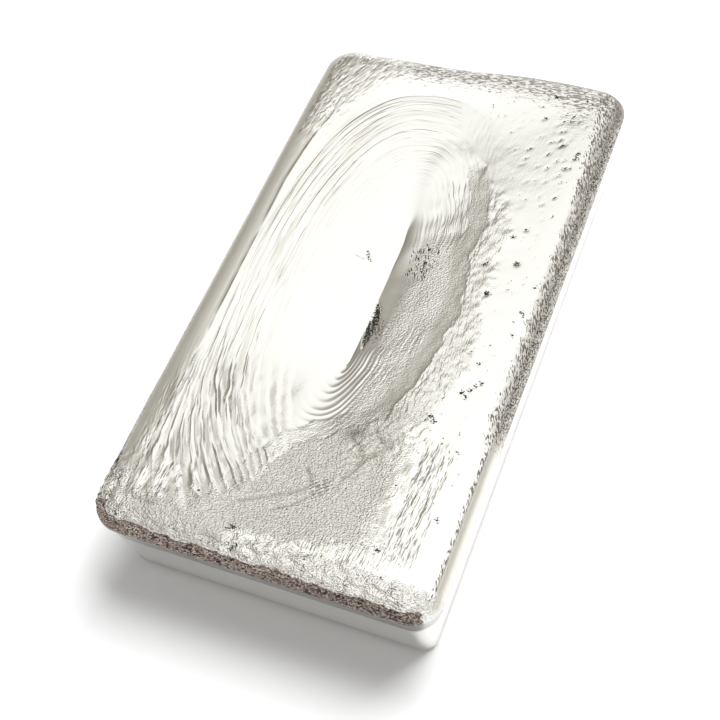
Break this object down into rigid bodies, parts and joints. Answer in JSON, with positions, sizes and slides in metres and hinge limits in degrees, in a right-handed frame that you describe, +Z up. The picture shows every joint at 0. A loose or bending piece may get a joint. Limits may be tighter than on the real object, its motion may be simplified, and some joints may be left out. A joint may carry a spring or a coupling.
{
  "type": "cast silver ingot",
  "caption": "Cast bar of bright silver with drafted mould walls, a rounded crusty rim and a long sink stepped by rings on its top face.",
  "frame": {"origin": "middle of the foot, the flat face the bar lies on", "axes": "+Z up out of the open face, +Y along the bar, +X across it towards the side with the wide shelf"},
  "size_m": [0.0554, 0.102, 0.0192],
  "materials": {
    "silver": "as cast fine silver, bright top face with a dark oxide crust along the rim"
  },
  "bodies": {
    "root": {"ingot": "silver"}
  },
  "joints": []
}
